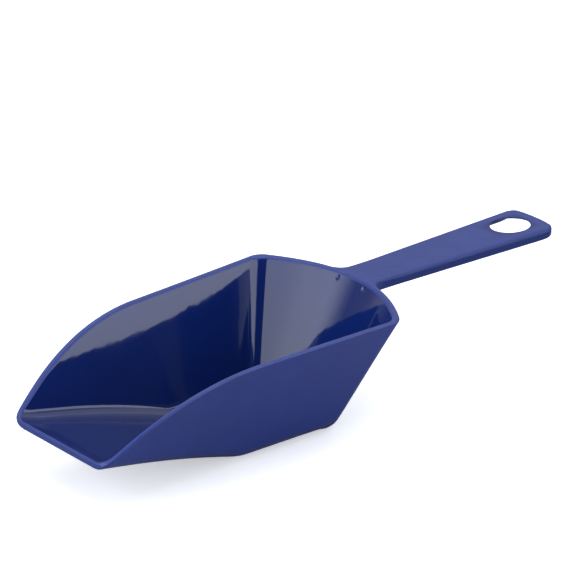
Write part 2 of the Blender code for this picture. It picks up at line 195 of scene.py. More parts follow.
def plan(z, inner):
    """Rear corner of the plan curve at height z: centre, radius, end angles and tangent points."""
    key = (round(z, 5), inner)
    if key in _plan:
        return _plan[key]
    k = rear_k(z)
    radius = (lerp(CORNER_IN_LOW, CORNER_IN, z / RIM_Z) if inner else lerp(CORNER_LOW, CORNER_TOP, z / RIM_Z))
    radius += HEEL_EXTRA * max(0.0, 1.0 - z / 14.0) ** 2
    off_rear = WALL * math.sqrt(1 + R1 * R1) if inner else 0.0
    off_side = WALL * math.sqrt(1 + W2 * W2) if inner else 0.0
    lo, hi = 2.0, 80.0
    for _ in range(60):
        y = 0.5 * (lo + hi)
        n = math.hypot(1.0, 2 * k * y)
        cx = R0 + R1 * z - k * y * y - (off_rear + radius) / n
        cy = y - (off_rear + radius) * 2 * k * y / n
        s = side_slope(cx)
        if cy + (off_side + radius) * math.sqrt(1 + s * s) > half_width(cx, z):
            hi = y
        else:
            lo = y
    s = side_slope(cx)
    out = dict(cx=cx, cy=cy, r=radius, a_rear=math.atan2(2 * k * y, 1.0), a_side=math.atan2(1.0, -s), y=y,
               xs=cx - (off_side + radius) * s / math.sqrt(1 + s * s), off_rear=off_rear, off_side=off_side)
    _plan[key] = out
    return out


X_SIDE = plan(0.0, False)["xs"]


def side_x(xs, z, inner):
    """Grid columns of the side walls lean back as they near the rear corner."""
    return xs + (plan(z, inner)["xs"] - X_SIDE) * smooth((xs - 55.0) / (X_SIDE - 55.0))


def wall_plan(q, z, inner):
    """Wall at height z.  q in 0..1 side wall, 1..2 corner, 2..3 rear wall.  Returns x, y, normal."""
    p = plan(z, inner)
    if q <= 1.0:
        x = side_x(q * X_SIDE, z, inner)
        s = side_slope(x) * smooth(x / 30.0)   # square to the lip at the front
        n = math.sqrt(1 + s * s)
        off = p["off_side"]
        return x + off * s / n, half_width(x, z) - off / n, -s / n, 1.0 / n
    if q <= 2.0:
        a = lerp(p["a_side"], p["a_rear"], q - 1.0)
        return p["cx"] + p["r"] * math.cos(a), p["cy"] + p["r"] * math.sin(a), math.cos(a), math.sin(a)
    y = p["y"] * (3.0 - q)
    k = rear_k(z)
    n = math.hypot(1.0, 2 * k * y)
    off = p["off_rear"]
    return R0 + R1 * z - k * y * y - off / n, y - off * 2 * k * y / n, 1.0 / n, 2 * k * y / n


def lean(q, z):
    """Tangent of the wall's lean from vertical, in the plane of its normal."""
    x0, y0, nx, ny = wall_plan(q, z - 0.5, False)
    x1, y1, _, _ = wall_plan(q, z + 0.5, False)
    return (x1 - x0) * nx + (y1 - y0) * ny


def station(q, inner):
    """Constants of one upright profile: floor level, fillet and lengths along the surface."""
    x0 = wall_plan(q, 0.0, inner)[0]
    zf = floor_z(x0)
    x0 = wall_plan(q, zf, inner)[0]
    zf = floor_z(x0)
    t = lean(q, zf + 15.0)
    a = math.atan(t)
    r = fillet_r(q, x0, inner)
    if inner:
        zf = zf + floor_t(x0)
    th = math.pi / 2 - a
    nc = r * (math.sin(a) - 1.0) / math.cos(a)
    return dict(q=q, inner=inner, zf=zf, a=a, r=r, th=th, nc=nc, sf=r * th, zt=zf + r * (1 - math.sin(a)))


def surface(st, s):
    """Point at distance s up the surface, measured from the start of the floor fillet (far side, y > 0)."""
    q, r = st["q"], st["r"]
    if s < st["sf"]:
        th = s / r
        z = st["zf"] + r * (1 - math.cos(th))
        inset = (z - st["zf"]) * math.tan(st["a"]) - (st["nc"] + r * math.sin(th))
    else:
        z = min(st["zt"] + (s - st["sf"]) * math.cos(st["a"]), RIM_Z)
        inset = 0.0
    x, y, nx, ny = wall_plan(q, z, st["inner"])
    return (x - nx * inset, y - ny * inset, z)


def rim_length(st):
    """Surface length from the fillet start to the rim's sharp edge."""
    q = st["q"]
    z = RIM_Z
    for _ in range(6):
        x = wall_plan(q, z, st["inner"])[0]
        z = rim_z(x) + (3.0 * math.exp(-x / 4.0) if st["inner"] else 0.0)
        z = min(z, RIM_Z)
    if z < st["zt"]:
        return st["r"] * math.acos(1 - (z - st["zf"]) / st["r"])
    return st["sf"] + (z - st["zt"]) / math.cos(st["a"])


def row_lengths(st, top):
    """Row positions from the rim (first) down to the start of the floor fillet (last, 0)."""
    sf = min(st["sf"], 0.6 * top)
    zone = min(TOP_ZONE, 0.3 * (top - sf))
    return ([top - zone * k / N_TOP for k in range(N_TOP)]
            + [lerp(top - zone, sf, k / N_RISE) for k in range(N_RISE)]
            + [sf * (1 - k / N_FILLET) for k in range(N_FILLET + 1)])


def edge_r(x):
    return lerp(LIP_R, EDGE_R, smooth(x / 16.0))


def columns():
    """Column parameters, closer together where the rim curves."""
    out = []
    for i in range(N_SIDE + 1):
        t = i / N_SIDE
        out.append((LIP_R + (X_SIDE - LIP_R) * (0.72 * t + 0.28 * t * t)) / X_SIDE)
    out += [1.0 + (i + 1) / N_CORNER for i in range(N_CORNER)]
    rear = [2.0 + (i + 1) / N_REAR for i in range(N_REAR)]
    mid = 3.0 - SINK_Y / plan(RIM_Z, True)["y"]
    fine = [mid + 0.17 * (i - 6) / 6 * SINK_R / 1.5 * 0.45 for i in range(13)]
    rear = [q for q in rear if q < fine[0] - 0.012 or q > fine[-1] + 0.012]
    out += sorted(rear + fine)
    return out


def corner_softening(sc, slope, r=CORNER_EASE):
    """Quadratic easing of the lip corner in the unrolled (x, s) sheet; returns its points as one table."""
    n = math.hypot(1.0, slope)
    a, c, d = (0.0, sc - r), (0.0, sc), (r / n, sc + r * slope / n)
    pts = []
    for i in range(41):
        t = i / 40
        pts.append(tuple((1 - t) ** 2 * p + 2 * t * (1 - t) * m + t * t * e for p, m, e in zip(a, c, d)))
    return pts


def interp(x, xs, ys):
    if x <= xs[0]:
        return ys[0]
    for i in range(1, len(xs)):
        if x <= xs[i]:
            f = (x - xs[i - 1]) / (xs[i] - xs[i - 1] + 1e-12)
            return lerp(ys[i - 1], ys[i], f)
    return ys[-1]


def build_sheet(inner):
    """Grid of one skin of the bowl plus the sharp edge line beyond its border.

    rows[c][k]: k = 0 at the rim ... N_WALL at the start of the floor, then floor points to y = 0.
    edge[b]: sharp edge point for each border vertex, border order = rim from rear centre to the lip corner,
    then along the lip to y = 0.
    """
    cols = columns()
    stations = [station(q, inner) for q in cols]
    lens = [rim_length(s) for s in stations]
    first = station(0.0, inner)
    sc = rim_length(first)
    slope = (rim_length(station(6.0 / X_SIDE, inner)) - sc) / 6.0
    ease = corner_softening(sc, slope)
    half = len(ease) // 2
    front = ease[:half + 1]
    side = ease[half:]
    rows, rim_edge = [], []
    for c, (q, st, ln) in enumerate(zip(cols, stations, lens)):
        x = q * X_SIDE
        e = edge_r(x)
        if q <= 1.0:
            h = 1.5
            l0 = rim_length(station(max(q - h / X_SIDE, 0.0), inner))
            l1 = rim_length(station(min(q + h / X_SIDE, 1.0), inner))
            d = (l1 - l0) / ((min(q + h / X_SIDE, 1.0) - max(q - h / X_SIDE, 0.0)) * X_SIDE)
            if x < side[-1][0]:
                ln_e = interp(x, [p[0] for p in side], [p[1] for p in side])
            else:
                ln_e = ln
        else:
            d = 0.0
            ln_e = ln
        n = math.hypot(1.0, d)
        top = ln_e - e * n
        # sharp edge point, square to the rim in the unrolled sheet
        if q <= 1.0 and d > 1e-6:
            qe = max(q - e * d / n / X_SIDE, 0.0)
            se = top + e / n
            pe = surface(station(qe, inner), se)
        else:
            pe = surface(st, top + e)
        rim_edge.append(pe)
        rows.append([surface(st, s) for s in row_lengths(st, top)])
        rows[-1].append(("st", st, top))
    # front line: sharp edge points along the lip for every row of the first column
    st0, top0 = rows[0][-1][1], rows[0][-1][2]
    front_edge = []
    first_rows = row_lengths(st0, top0)
    for s in first_rows:
        s_e = s * front[-1][1] / top0
        x_e = interp(s_e, [p[1] for p in front], [p[0] for p in front])
        front_edge.append(surface(station(x_e / X_SIDE, inner), s_e))
    rim_edge[0] = front_edge[0]
    # push the first column back where the corner is eased
    q0 = cols[0]
    for k, s in enumerate(first_rows):
        x_e = interp(s * front[-1][1] / top0, [p[1] for p in front], [p[0] for p in front])
        rows[0][k] = surface(station(q0 + 0.8 * x_e / X_SIDE, inner), s)
    # floor points to the plane of symmetry; behind the fold they fan out forwards
    level = FOLD_X + FOLD_BLEND + 0.5
    x_a = rows[N_SIDE][-2][0]
    x_b = rows[-1][-2][0]
    x_m = level + 0.4 * (x_a - level)
    for c, row in enumerate(rows):
        row.pop()
        x, y, z = row[N_WALL]
        if c <= N_SIDE:
            mid = x if x <= level else level + 0.4 * (x - level)
        else:
            mid = lerp(x_m, x_b, (c - N_SIDE) / (len(rows) - 1 - N_SIDE))
        for j in range(1, N_FLOOR + 1):
            row.append((lerp(x, mid, j / N_FLOOR), y * (1 - j / N_FLOOR), z))
    fx, fy, fz = front_edge[N_WALL]
    lip_edge = [(fx, fy * (1 - j / N_FLOOR), fz) for j in range(1, N_FLOOR + 1)]
    # border, from the rear centre round to the middle of the lip
    border = list(reversed(rim_edge)) + front_edge[1:] + lip_edge
    return rows, border


def arc_points(q, e, f, seg):
    """Circular-looking rounding from q to f with its corner at e, ends included."""
    v1 = [a - b for a, b in zip(q, e)]
    v2 = [a - b for a, b in zip(f, e)]
    l1 = math.sqrt(sum(a * a for a in v1))
    l2 = math.sqrt(sum(a * a for a in v2))
    c = sum(a * b for a, b in zip(v1, v2)) / (l1 * l2)
    w = math.sqrt(max(0.0, (1 - c) / 2))      # sine of half the corner angle
    out = []
    for i in range(seg + 1):
        t = i / seg
        b0, b1, b2 = (1 - t) ** 2, 2 * t * (1 - t) * w, t * t
        s = b0 + b1 + b2
        out.append(tuple((b0 * a + b1 * m + b2 * d) / s for a, m, d in zip(q, e, f)))
    return out


EDGE_POINTS = []          # points along every rounded edge, for the wear


class Builder:
    """Collects vertices and faces; points on the plane of symmetry are shared by both halves."""

    def __init__(self):
        self.bm = bmesh.new()
        self.cache = {}
        self.slot = SATIN

    def v(self, p):
        key = (round(p[0], 4), round(p[1], 4), round(p[2], 4))
        if key not in self.cache:
            self.cache[key] = self.bm.verts.new(p)
        return self.cache[key]

    def face(self, pts):
        vs = []
        for p in pts:
            v = self.v(p)
            if v not in vs:
                vs.append(v)
        if len(vs) > 2 and self.bm.faces.get(vs) is None:
            self.bm.faces.new(vs).material_index = self.slot

    def both(self, pts):
        """One face and its mirror image."""
        self.face(pts)
        self.face([(p[0], -p[1], p[2]) for p in reversed(pts)])

    def strip(self, a, b):
        for i in range(len(a) - 1):
            self.both([a[i], a[i + 1], b[i + 1], b[i]])


def flat(p):
    return (p[0], 0.0 if abs(p[1]) < 1e-6 else p[1], p[2])


def sink(p):
    """Two small sink marks in the inner face of the rear wall, opposite the handle's flanges."""
    r2 = ((abs(p[1]) - SINK_Y) / SINK_W) ** 2 + ((p[2] - RIM_Z + SINK_DROP) / SINK_R) ** 2
    return (p[0] + SINK_DEPTH * (1.0 - r2) ** 2, p[1], p[2]) if r2 < 1.0 else p


def build_bowl():
    b = Builder()
    outer, edge_o = build_sheet(False)
    inner, edge_i = build_sheet(True)
    inner = [[sink(p) if c > N_SIDE + N_CORNER else p for p in row] for c, row in enumerate(inner)]
    outer = [[flat(p) for p in row] for row in outer]
    inner = [[flat(p) for p in row] for row in inner]
    edge_o = [flat(p) for p in edge_o]
    edge_i = [flat(p) for p in edge_i]
    last = len(outer) - 1
    for grid, flip in ((outer, False), (inner, True)):
        b.slot = GLOSS if flip else SATIN
        for c in range(last):
            for k in range(len(grid[0]) - 1):
                quad = [grid[c][k], grid[c][k + 1], grid[c + 1][k + 1], grid[c + 1][k]]
                b.both(quad if not flip else quad[::-1])
    # rounded border joining the two skins
    b.slot = SATIN
    loop_o = [outer[c][0] for c in range(last, -1, -1)] + outer[0][1:]
    loop_i = [inner[c][0] for c in range(last, -1, -1)] + inner[0][1:]
    prev = None
    for qo, eo, ei, qi in zip(loop_o, edge_o, edge_i, loop_i):
        w = math.dist(eo, ei)
        u = [(m - n) / w for m, n in zip(ei, eo)]
        r = edge_r(eo[0])
        fo = tuple(n + r * d for n, d in zip(eo, u))
        fi = tuple(m - r * d for m, d in zip(ei, u))
        line = arc_points(qo, eo, fo, EDGE_SEG) + arc_points(fi, ei, qi, EDGE_SEG)
        line = [flat(p) for p in line]
        EDGE_POINTS.extend((line[EDGE_SEG // 2], line[EDGE_SEG], line[EDGE_SEG + 1], line[-1 - EDGE_SEG // 2]))
        if prev:
            b.strip(prev, line)
        prev = line
    bmesh.ops.recalc_face_normals(b.bm, faces=b.bm.faces)
    return b.bm


def handle_half(x):
    return lerp(H_HALF_ROOT, H_HALF_TIP, (x - H_ROOT_X) / (LENGTH - H_ROOT_X))


def handle_outline(z, inset):
    """Half outline (y >= 0) of the handle at height z, from inside the rear wall to the tip on y = 0."""
    k = rear_k(z)
    yc = handle_half(H_ROOT_X + H_FLARE) + H_FLARE
    s = 2 * k * yc
    n = math.hypot(1.0, s)
    cx = R0 + R1 * z - k * yc * yc - H_BITE + H_FLARE * n
    r = H_FLARE + inset
    a1 = math.pi + math.atan2(s, 1.0) + math.acos(min(1.0, (H_FLARE - H_BITE + 1.4) / r))
    pts = []
    for i in range(N_FLARE + 1):
        a = lerp(a1, 1.5 * math.pi, i / N_FLARE)
        pts.append((cx + r * math.cos(a), yc + r * math.sin(a)))
    x0, y0 = pts[0]
    pts.insert(0, (R0 + R1 * z - k * (y0 + 0.8) ** 2 - H_TAIL, y0 + 0.8))
    # straight side, then the corner and the slightly bulged end
    ye = H_HALF_TIP - TIP_R
    rb = (ye * ye + TIP_BULGE * TIP_BULGE) / (2 * TIP_BULGE)
    beta = math.asin(ye / rb)
    xc = LENGTH - TIP_BULGE - TIP_R * math.cos(beta)
    for i in range(1, N_GRIP + 1):
        x = lerp(cx, xc, i / N_GRIP)
        pts.append((x, handle_half(x) - inset))
    yct = handle_half(xc) - TIP_R
    for i in range(1, N_TIP + 1):
        a = lerp(math.pi / 2, beta, i / N_TIP)
        pts.append((xc + (TIP_R - inset) * math.cos(a), yct + (TIP_R - inset) * math.sin(a)))
    x1, y1 = pts[-1]
    for i in range(1, 5):
        f = i / 4
        pts.append((lerp(x1, LENGTH - inset, 1 - (1 - f) ** 2), y1 * (1 - f)))
    return [(x, y, z) for x, y in pts]


def droop(p):
    """The grip leaves the rim level and then falls gently."""
    x = p[0] - DROOP_X
    d = 0.0 if x <= 0 else (x * x / 16.0 if x < 8.0 else x - 4.0)
    z, under = p[2], RIM_Z - H_PLATE
    if z < under:
        z = under + (z - under) * (1.0 - TIP_RELIEF * smooth((p[0] - LENGTH + 9.0) / 8.0))
    return (p[0], 0.0 if abs(p[1]) < 1e-6 else p[1], z - H_DROOP * d)


def half_ellipse(grow, z):
    out = []
    for i in range(N_HOLE + 1):
        a = math.pi * i / N_HOLE
        out.append((HOLE_X + (HOLE_A + grow) * math.cos(a), (HOLE_B + grow) * math.sin(a), z))
    return out


def zipper(b, a, c):
    """Triangles between two lines of points that run the same way."""
    i = j = 0
    while i < len(a) - 1 or j < len(c) - 1:
        if j == len(c) - 1 or (i < len(a) - 1 and math.dist(a[i + 1], c[j]) <= math.dist(a[i], c[j + 1])):
            b.both([a[i], a[i + 1], c[j]])
            i += 1
        else:
            b.both([a[i], c[j + 1], c[j]])
            j += 1


def build_handle():
    """The handle as its own closed solid; its root is buried in the thickness of the rear wall."""
    b = Builder()
    loops = [handle_outline(RIM_Z, ins) for ins in (5.4, 4.2, 3.1)]
    for i in range(GRIP_SEG + 1):              # rounded top edge, tighter round the tip
        a = 0.5 * math.pi * i / GRIP_SEG
        drop, ins = H_EDGE_R * (1 - math.cos(a)), H_EDGE_R * (1 - math.sin(a))
        line = []
        for p, q in zip(handle_outline(RIM_Z - drop, 0.0), handle_outline(RIM_Z - drop, ins)):
            g = lerp(1.0 - ROOT_TIGHT, 1.0, smooth((p[0] - H_ROOT_X) / 18.0))
            g -= TIP_TIGHT * smooth((p[0] - LENGTH + 5.0) / 4.5)
            line.append((lerp(p[0], q[0], g), lerp(p[1], q[1], g), RIM_Z - g * drop))
        loops.append(line)
    bottom = RIM_Z - H_DEPTH
    under = RIM_Z - H_PLATE
    loops += [handle_outline(z, ins) for z, ins in
              ((bottom + 0.4, 0.0), (bottom, 0.4),
               (bottom, 0.7), (bottom + 1.3, H_FLANGE - 0.2),
               (under - 0.8, H_FLANGE), (under, H_FLANGE + 0.8))]
    loops = [[droop(p) for p in loop] for loop in loops]
    for a, c in zip(loops, loops[1:]):
        b.strip(a, c)
    EDGE_POINTS.extend(loops[4 + GRIP_SEG][2:] + loops[5 + GRIP_SEG][2:])
    top, low = loops[0], loops[-1]
    # buried end
    ends = []
    for loop, z in ((top, RIM_Z), (low, under)):
        y1 = loop[0][1]
        ends.append([(R0 + R1 * z - rear_k(z) * y * y - H_TAIL, y, z)
                     for y in (y1 * i / 4 for i in range(4))] + [loop[0]])
    b.strip(ends[0], ends[1])
    b.both([loop[0] for loop in loops])
    # hanging hole: rounded above, chamfered below
    hole = []
    for i in range(HOLE_SEG + 1):
        a = 0.5 * math.pi * i / HOLE_SEG
        hole.append(half_ellipse(HOLE_R * (1 - math.sin(a)), RIM_Z - HOLE_R * (1 - math.cos(a))))
    hole.append(half_ellipse(HOLE_FLARE, under))
    hole = [[droop(p) for p in h] for h in hole]
    EDGE_POINTS.extend(hole[0])
    for a, c in zip(hole, hole[1:]):
        b.strip(a, c)
    # plate, above and below
    for loop, end, rim in ((top, ends[0], hole[0]), (low, ends[1], hole[-1])):
        first = 1 + N_FLARE
        count = int(0.75 * N_GRIP)
        grid = loop[first:first + count + 1]
        mid = [droop((p[0], 0.0, loop[0][2])) for p in grid]
        b.both(end + loop[1:first + 1] + [mid[0]])
        for i in range(len(grid) - 1):
            b.both([mid[i], grid[i], grid[i + 1], mid[i + 1]])
        zipper(b, [mid[-1]] + loop[first + count:], rim[::-1])
    bmesh.ops.recalc_face_normals(b.bm, faces=b.bm.faces)
    return b.bm



# ---------------------------------------------------------------- objects
def to_object(bm, name, mats):
    for v in bm.verts:
        v.co.x = (v.co.x - LENGTH / 2) * 0.001
        v.co.y *= 0.001
        v.co.z *= 0.001
    me = bpy.data.meshes.new(name)
    bm.to_mesh(me)
    bm.free()
    for m in mats:
        me.materials.append(m)
    for p in me.polygons:
        p.use_smooth = True
    ob = bpy.data.objects.new(name, me)
    bpy.context.scene.collection.objects.link(ob)
    return ob


def settle(ob):
    """Applies the object's modifiers."""
    dg = bpy.context.evaluated_depsgraph_get()
    me = bpy.data.meshes.new_from_object(ob.evaluated_get(dg), depsgraph=dg)
    me.name = ob.name
    ob.modifiers.clear()
    ob.data = me


def mark_edges(ob):
    """Vertex attributes: "edge" is 1 on the rounded edges and fades over the next 3 mm, and wear follows it; the
    second attribute is 1 on the sides of the grip and in a ring round the hanging hole, and masks painted shade
    there."""
    pts = EDGE_POINTS + [(x, -y, z) for x, y, z in EDGE_POINTS]
    tree = KDTree(len(pts))
    for i, (x, y, z) in enumerate(pts):
        tree.insert(((x - LENGTH / 2) * 0.001, y * 0.001, z * 0.001), i)
    tree.balance()
    near = [math.exp(-(tree.find(v.co)[2] / 0.0013) ** 2) for v in ob.data.vertices]
    ob.data.attributes.new("edge", "FLOAT", "POINT").data.foreach_set("value", near)
    # painted shade mask: 1 on the sideways-facing sides of the grip
    painted_flank_shade = [smooth((0.96 - abs(v.normal.z)) / 0.7) * smooth((v.co.x - 0.036) / 0.006) for v in ob.data.vertices]
    # and on a ring round the hanging hole: painted shade for the hole's rounded edge and wall
    for i, v in enumerate(ob.data.vertices):
        ring = math.hypot((v.co.x * 1000 + LENGTH / 2 - HOLE_X) / HOLE_A, v.co.y * 1000 / HOLE_B) * 0.5 * (HOLE_A + HOLE_B)
        past = ring - 0.5 * (HOLE_A + HOLE_B)
        if past < 3.0:
            painted_flank_shade[i] = max(painted_flank_shade[i], 1.0 - smooth((past - 0.35) / 0.9))
    ob.data.attributes.new("painted_flank_shade", "FLOAT", "POINT").data.foreach_set("value", painted_flank_shade)


# ---------------------------------------------------------------- materials
class Nodes:
    def __init__(self, name):
        self.mat = bpy.data.materials.new(name)
        self.mat.use_nodes = True
        self.tree = self.mat.node_tree
        self.bsdf = self.tree.nodes["Principled BSDF"]
        self.place = self.add("ShaderNodeTexCoord").outputs["Object"]

    def add(self, kind, **props):
        n = self.tree.nodes.new(kind)
        for k, v in props.items():
            setattr(n, k, v)
        return n

    def link(self, a, b):
        self.tree.links.new(a, b)

    def noise(self, scale, detail=2.0, rough=0.5, stretch=None, turn=(0, 0, 0), kind="FBM"):
        n = self.add("ShaderNodeTexNoise", noise_type=kind)
        n.inputs["Scale"].default_value = scale
        n.inputs["Detail"].default_value = detail
        n.inputs["Roughness"].default_value = rough
        src = self.place
        if stretch:
            m = self.add("ShaderNodeMapping")
            m.inputs["Scale"].default_value = stretch
            m.inputs["Rotation"].default_value = turn
            self.link(src, m.inputs["Vector"])
            src = m.outputs["Vector"]
        self.link(src, n.inputs["Vector"])
        return n.outputs["Fac"]

    def ramp(self, x, a, b, lo=0.0, hi=1.0):
        n = self.add("ShaderNodeMapRange", interpolation_type="SMOOTHSTEP")
        self.link(x, n.inputs["Value"])
        for key, v in (("From Min", a), ("From Max", b), ("To Min", lo), ("To Max", hi)):
            n.inputs[key].default_value = v
        return n.outputs["Result"]

    def math(self, op, a, b=0.0):
        n = self.add("ShaderNodeMath", operation=op)
        for socket, v in zip(n.inputs, (a, b)):
            if isinstance(v, (int, float)):
                socket.default_value = v
            else:
                self.link(v, socket)
        return n.outputs[0]

    def mix(self, f, a, b):
        n = self.add("ShaderNodeMix", data_type="RGBA")
        for socket, v in zip((n.inputs[0], n.inputs[6], n.inputs[7]), (f, a, b)):
            if isinstance(v, (int, float)):
                socket.default_value = v
            elif isinstance(v, tuple):
                socket.default_value = v + (1.0,)
            else:
                self.link(v, socket)
        return n.outputs[2]

    def bump(self, height, distance, strength=1.0, after=None):
        n = self.add("ShaderNodeBump")
        n.inputs["Strength"].default_value = strength
        n.inputs["Distance"].default_value = distance
        self.link(height, n.inputs["Height"])
        if after is not None:
            self.link(after, n.inputs["Normal"])
        return n.outputs["Normal"]

    def scratches(self, scale, turn, seed, width):
        """Thin straight marks: a stretched noise kept near its middle value, broken up by a slower one."""
        fine = self.noise(scale, 1.0, 0.4, (0.035, 1.0, 1.0), turn)
        line = self.ramp(self.math("ABSOLUTE", self.math("SUBTRACT", fine, 0.5)), 0.0, width, 1.0, 0.0)
        return self.math("MULTIPLY", line, self.ramp(self.noise(seed, 1.0), 0.56, 0.70))

    def specks(self, scale, size, keep):
        """A few tiny round dust specks."""
        v = self.add("ShaderNodeTexVoronoi", feature="F1")
        v.inputs["Scale"].default_value = scale
        self.link(self.place, v.inputs["Vector"])
        dot = self.ramp(v.outputs["Distance"], size * 0.5, size, 1.0, 0.0)
        pick = self.add("ShaderNodeSeparateColor")
        self.link(v.outputs["Color"], pick.inputs[0])
        return self.math("MULTIPLY", dot, self.math("GREATER_THAN", pick.outputs[0], keep))

    def attribute(self, name):
        n = self.add("ShaderNodeAttribute", attribute_name=name, attribute_type="GEOMETRY")
        return n.outputs["Fac"]

    def finish(self, colour, roughness, normal, ior, level):
        self.link(colour, self.bsdf.inputs["Base Color"])
        self.link(roughness, self.bsdf.inputs["Roughness"])
        self.link(normal, self.bsdf.inputs["Normal"])
        self.bsdf.inputs["IOR"].default_value = ior
        self.bsdf.inputs["Specular IOR Level"].default_value = level
        return self.mat


NAVY = (0.0088, 0.0260, 0.176)
NAVY_DEEP = (0.0076, 0.0230, 0.160)
NAVY_WORN = (0.0170, 0.0400, 0.215)
# painted shade colour for the sides of the grip and round the hanging hole
NAVY_PAINTED_SHADE = (0.0048, 0.0165, 0.110)
# inside colours: a darker navy than the outside's, partly the plastic's colour and partly painted shade inside
# the bowl
INK = (0.0046, 0.0152, 0.104)
INK_DEEP = (0.0038, 0.0132, 0.092)
INK_WORN = (0.0120, 0.0300, 0.150)
DUST = (0.16, 0.19, 0.30)


def satin():
    """Outside, rim and handle: finely sparked mould texture, rubbed brighter along the edges; painted shade on
    the grip's sides and round its hole.
    """
    m = Nodes("navy_satin")
    cloud = m.ramp(m.noise(26.0, 3.0), 0.30, 0.70)
    colour = m.mix(cloud, NAVY_DEEP, NAVY)
    rub = m.ramp(m.noise(210.0, 4.0, 0.65), 0.34, 0.66)
    worn = m.math("MULTIPLY", m.attribute("edge"), rub)
    colour = m.mix(m.math("MULTIPLY", worn, 0.22), colour, NAVY_WORN)
    # painted shade: the sides of the grip and a ring round the hanging hole are darkened
    painted_flank_shade = m.attribute("painted_flank_shade")
    colour = m.mix(m.math("MULTIPLY", painted_flank_shade, 0.9), colour, NAVY_PAINTED_SHADE)
    marks = m.math("MAXIMUM", m.scratches(900.0, (0.0, 0.3, 0.5), 31.0, 0.018),
                   m.scratches(760.0, (0.2, -0.4, -0.35), 23.0, 0.015))
    colour = m.mix(m.math("MULTIPLY", marks, 0.16), colour, NAVY_WORN)
    specks = m.specks(95.0, 0.030, 0.90)
    colour = m.mix(m.math("MULTIPLY", specks, 0.8), colour, DUST)
    rough = m.ramp(m.noise(48.0, 4.0, 0.6), 0.25, 0.75, 0.36, 0.46)
    rough = m.math("ADD", rough, m.math("MULTIPLY", worn, -0.07))
    rough = m.math("ADD", rough, m.math("MULTIPLY", marks, 0.08))
    grain = m.noise(2600.0, 2.0, 0.55)
    normal = m.bump(grain, 0.000022, 0.8)
    normal = m.bump(marks, 0.000006, -0.5, normal)
    # the same painted shade also lowers the specular level there, dimming its reflection
    m.link(m.math("SUBTRACT", 0.5, m.math("MULTIPLY", painted_flank_shade, 0.24)), m.bsdf.inputs["Specular IOR Level"])
    return m.finish(colour, rough, normal, 1.49, 0.5)


def gloss():
    """Inside of the bowl: polished, very slightly wavy, with fine scoop scratches."""
    m = Nodes("navy_gloss")
    # base colour darker than the outside's navy, partly painted shade of the bowl's inside
    cloud = m.ramp(m.noise(20.0, 2.0), 0.30, 0.70)
    colour = m.mix(cloud, INK_DEEP, INK)
    rub = m.ramp(m.noise(230.0, 4.0, 0.65), 0.40, 0.68)
    worn = m.math("MULTIPLY", m.attribute("edge"), rub)
    colour = m.mix(m.math("MULTIPLY", worn, 0.5), colour, INK_WORN)
    marks = m.math("MAXIMUM", m.scratches(820.0, (0.0, 0.12, 0.10), 27.0, 0.012),
                   m.scratches(640.0, (0.1, -0.2, -0.55), 19.0, 0.010))
    specks = m.specks(80.0, 0.024, 0.93)
    colour = m.mix(m.math("MULTIPLY", specks, 0.8), colour, DUST)
    haze = m.ramp(m.noise(34.0, 3.0, 0.55), 0.30, 0.75, 0.035, 0.075)
    rough = m.math("ADD", haze, m.math("MULTIPLY", marks, 0.10))
    rough = m.math("ADD", rough, m.math("MULTIPLY", worn, 0.16))
    rough = m.math("ADD", rough, m.math("MULTIPLY", specks, 0.4))
    normal = m.bump(m.noise(70.0, 2.0, 0.5), 0.00009, 1.0)
    normal = m.bump(m.noise(260.0, 1.0, 0.4), 0.000006, 0.4, normal)
    normal = m.bump(marks, 0.000004, -0.5, normal)
    return m.finish(colour, rough, normal, 1.49, 0.5)


mats = [satin(), gloss()]
piece = to_object(build_bowl(), "scoop", mats)
grip = to_object(build_handle(), "grip_blank", mats)
union = piece.modifiers.new("handle", "BOOLEAN")
union.operation = "UNION"
union.solver = "EXACT"
union.object = grip
settle(piece)
bpy.data.objects.remove(grip, do_unlink=True)
mark_edges(piece)
weigh = piece.modifiers.new("normals", "WEIGHTED_NORMAL")
weigh.mode = "FACE_AREA"
weigh.weight = 50
settle(piece)
widest = max(v.co.y for v in piece.data.vertices)
for v in piece.data.vertices:                     # chords of the finer mesh stand a little prouder than the CAD's
    v.co.y *= min(1.0, (CAD_HI.y - 1e-6) / widest)
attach(piece, "root")
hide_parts("scoop_moulding")

# ---------------------------------------------------------------- floor
def make_floor(half, n=24):
    bm = bmesh.new()
    grid = [[bm.verts.new((half * (2.0 * i / n - 1.0), half * (2.0 * j / n - 1.0), 0.0)) for j in range(n + 1)]
            for i in range(n + 1)]
    for i in range(n):
        for j in range(n):
            bm.faces.new((grid[i][j], grid[i + 1][j], grid[i + 1][j + 1], grid[i][j + 1]))
    me = bpy.data.meshes.new("floor")
    bm.to_mesh(me)
    bm.free()
    m = Nodes("pale_floor")
    tone = m.ramp(m.noise(3.0, 3.0), 0.3, 0.7)
    rough = m.ramp(m.noise(40.0, 3.0), 0.3, 0.7, 0.72, 0.80)
    seen = m.add("ShaderNodeLightPath").outputs["Is Camera Ray"]     # printed white, as on a bright table
    paper = m.mix(tone, (0.38, 0.38, 0.39), (0.41, 0.41, 0.415))
    m.link(m.mix(seen, paper, (0.90, 0.90, 0.905)), m.bsdf.inputs["Base Color"])
    m.link(rough, m.bsdf.inputs["Roughness"])
    m.bsdf.inputs["Specular IOR Level"].default_value = 0.1
    m.bsdf.inputs["Emission Color"].default_value = (1.0, 1.0, 1.0, 1.0)
    m.link(m.math("MULTIPLY", seen, 0.42), m.bsdf.inputs["Emission Strength"])
    me.materials.append(m.mat)
    ob = bpy.data.objects.new("floor", me)
    bpy.context.scene.collection.objects.link(ob)
    return ob


floor = make_floor(6.0)

# ---------------------------------------------------------------- light
AIM = Vector((-0.05, 0.0, 0.03))


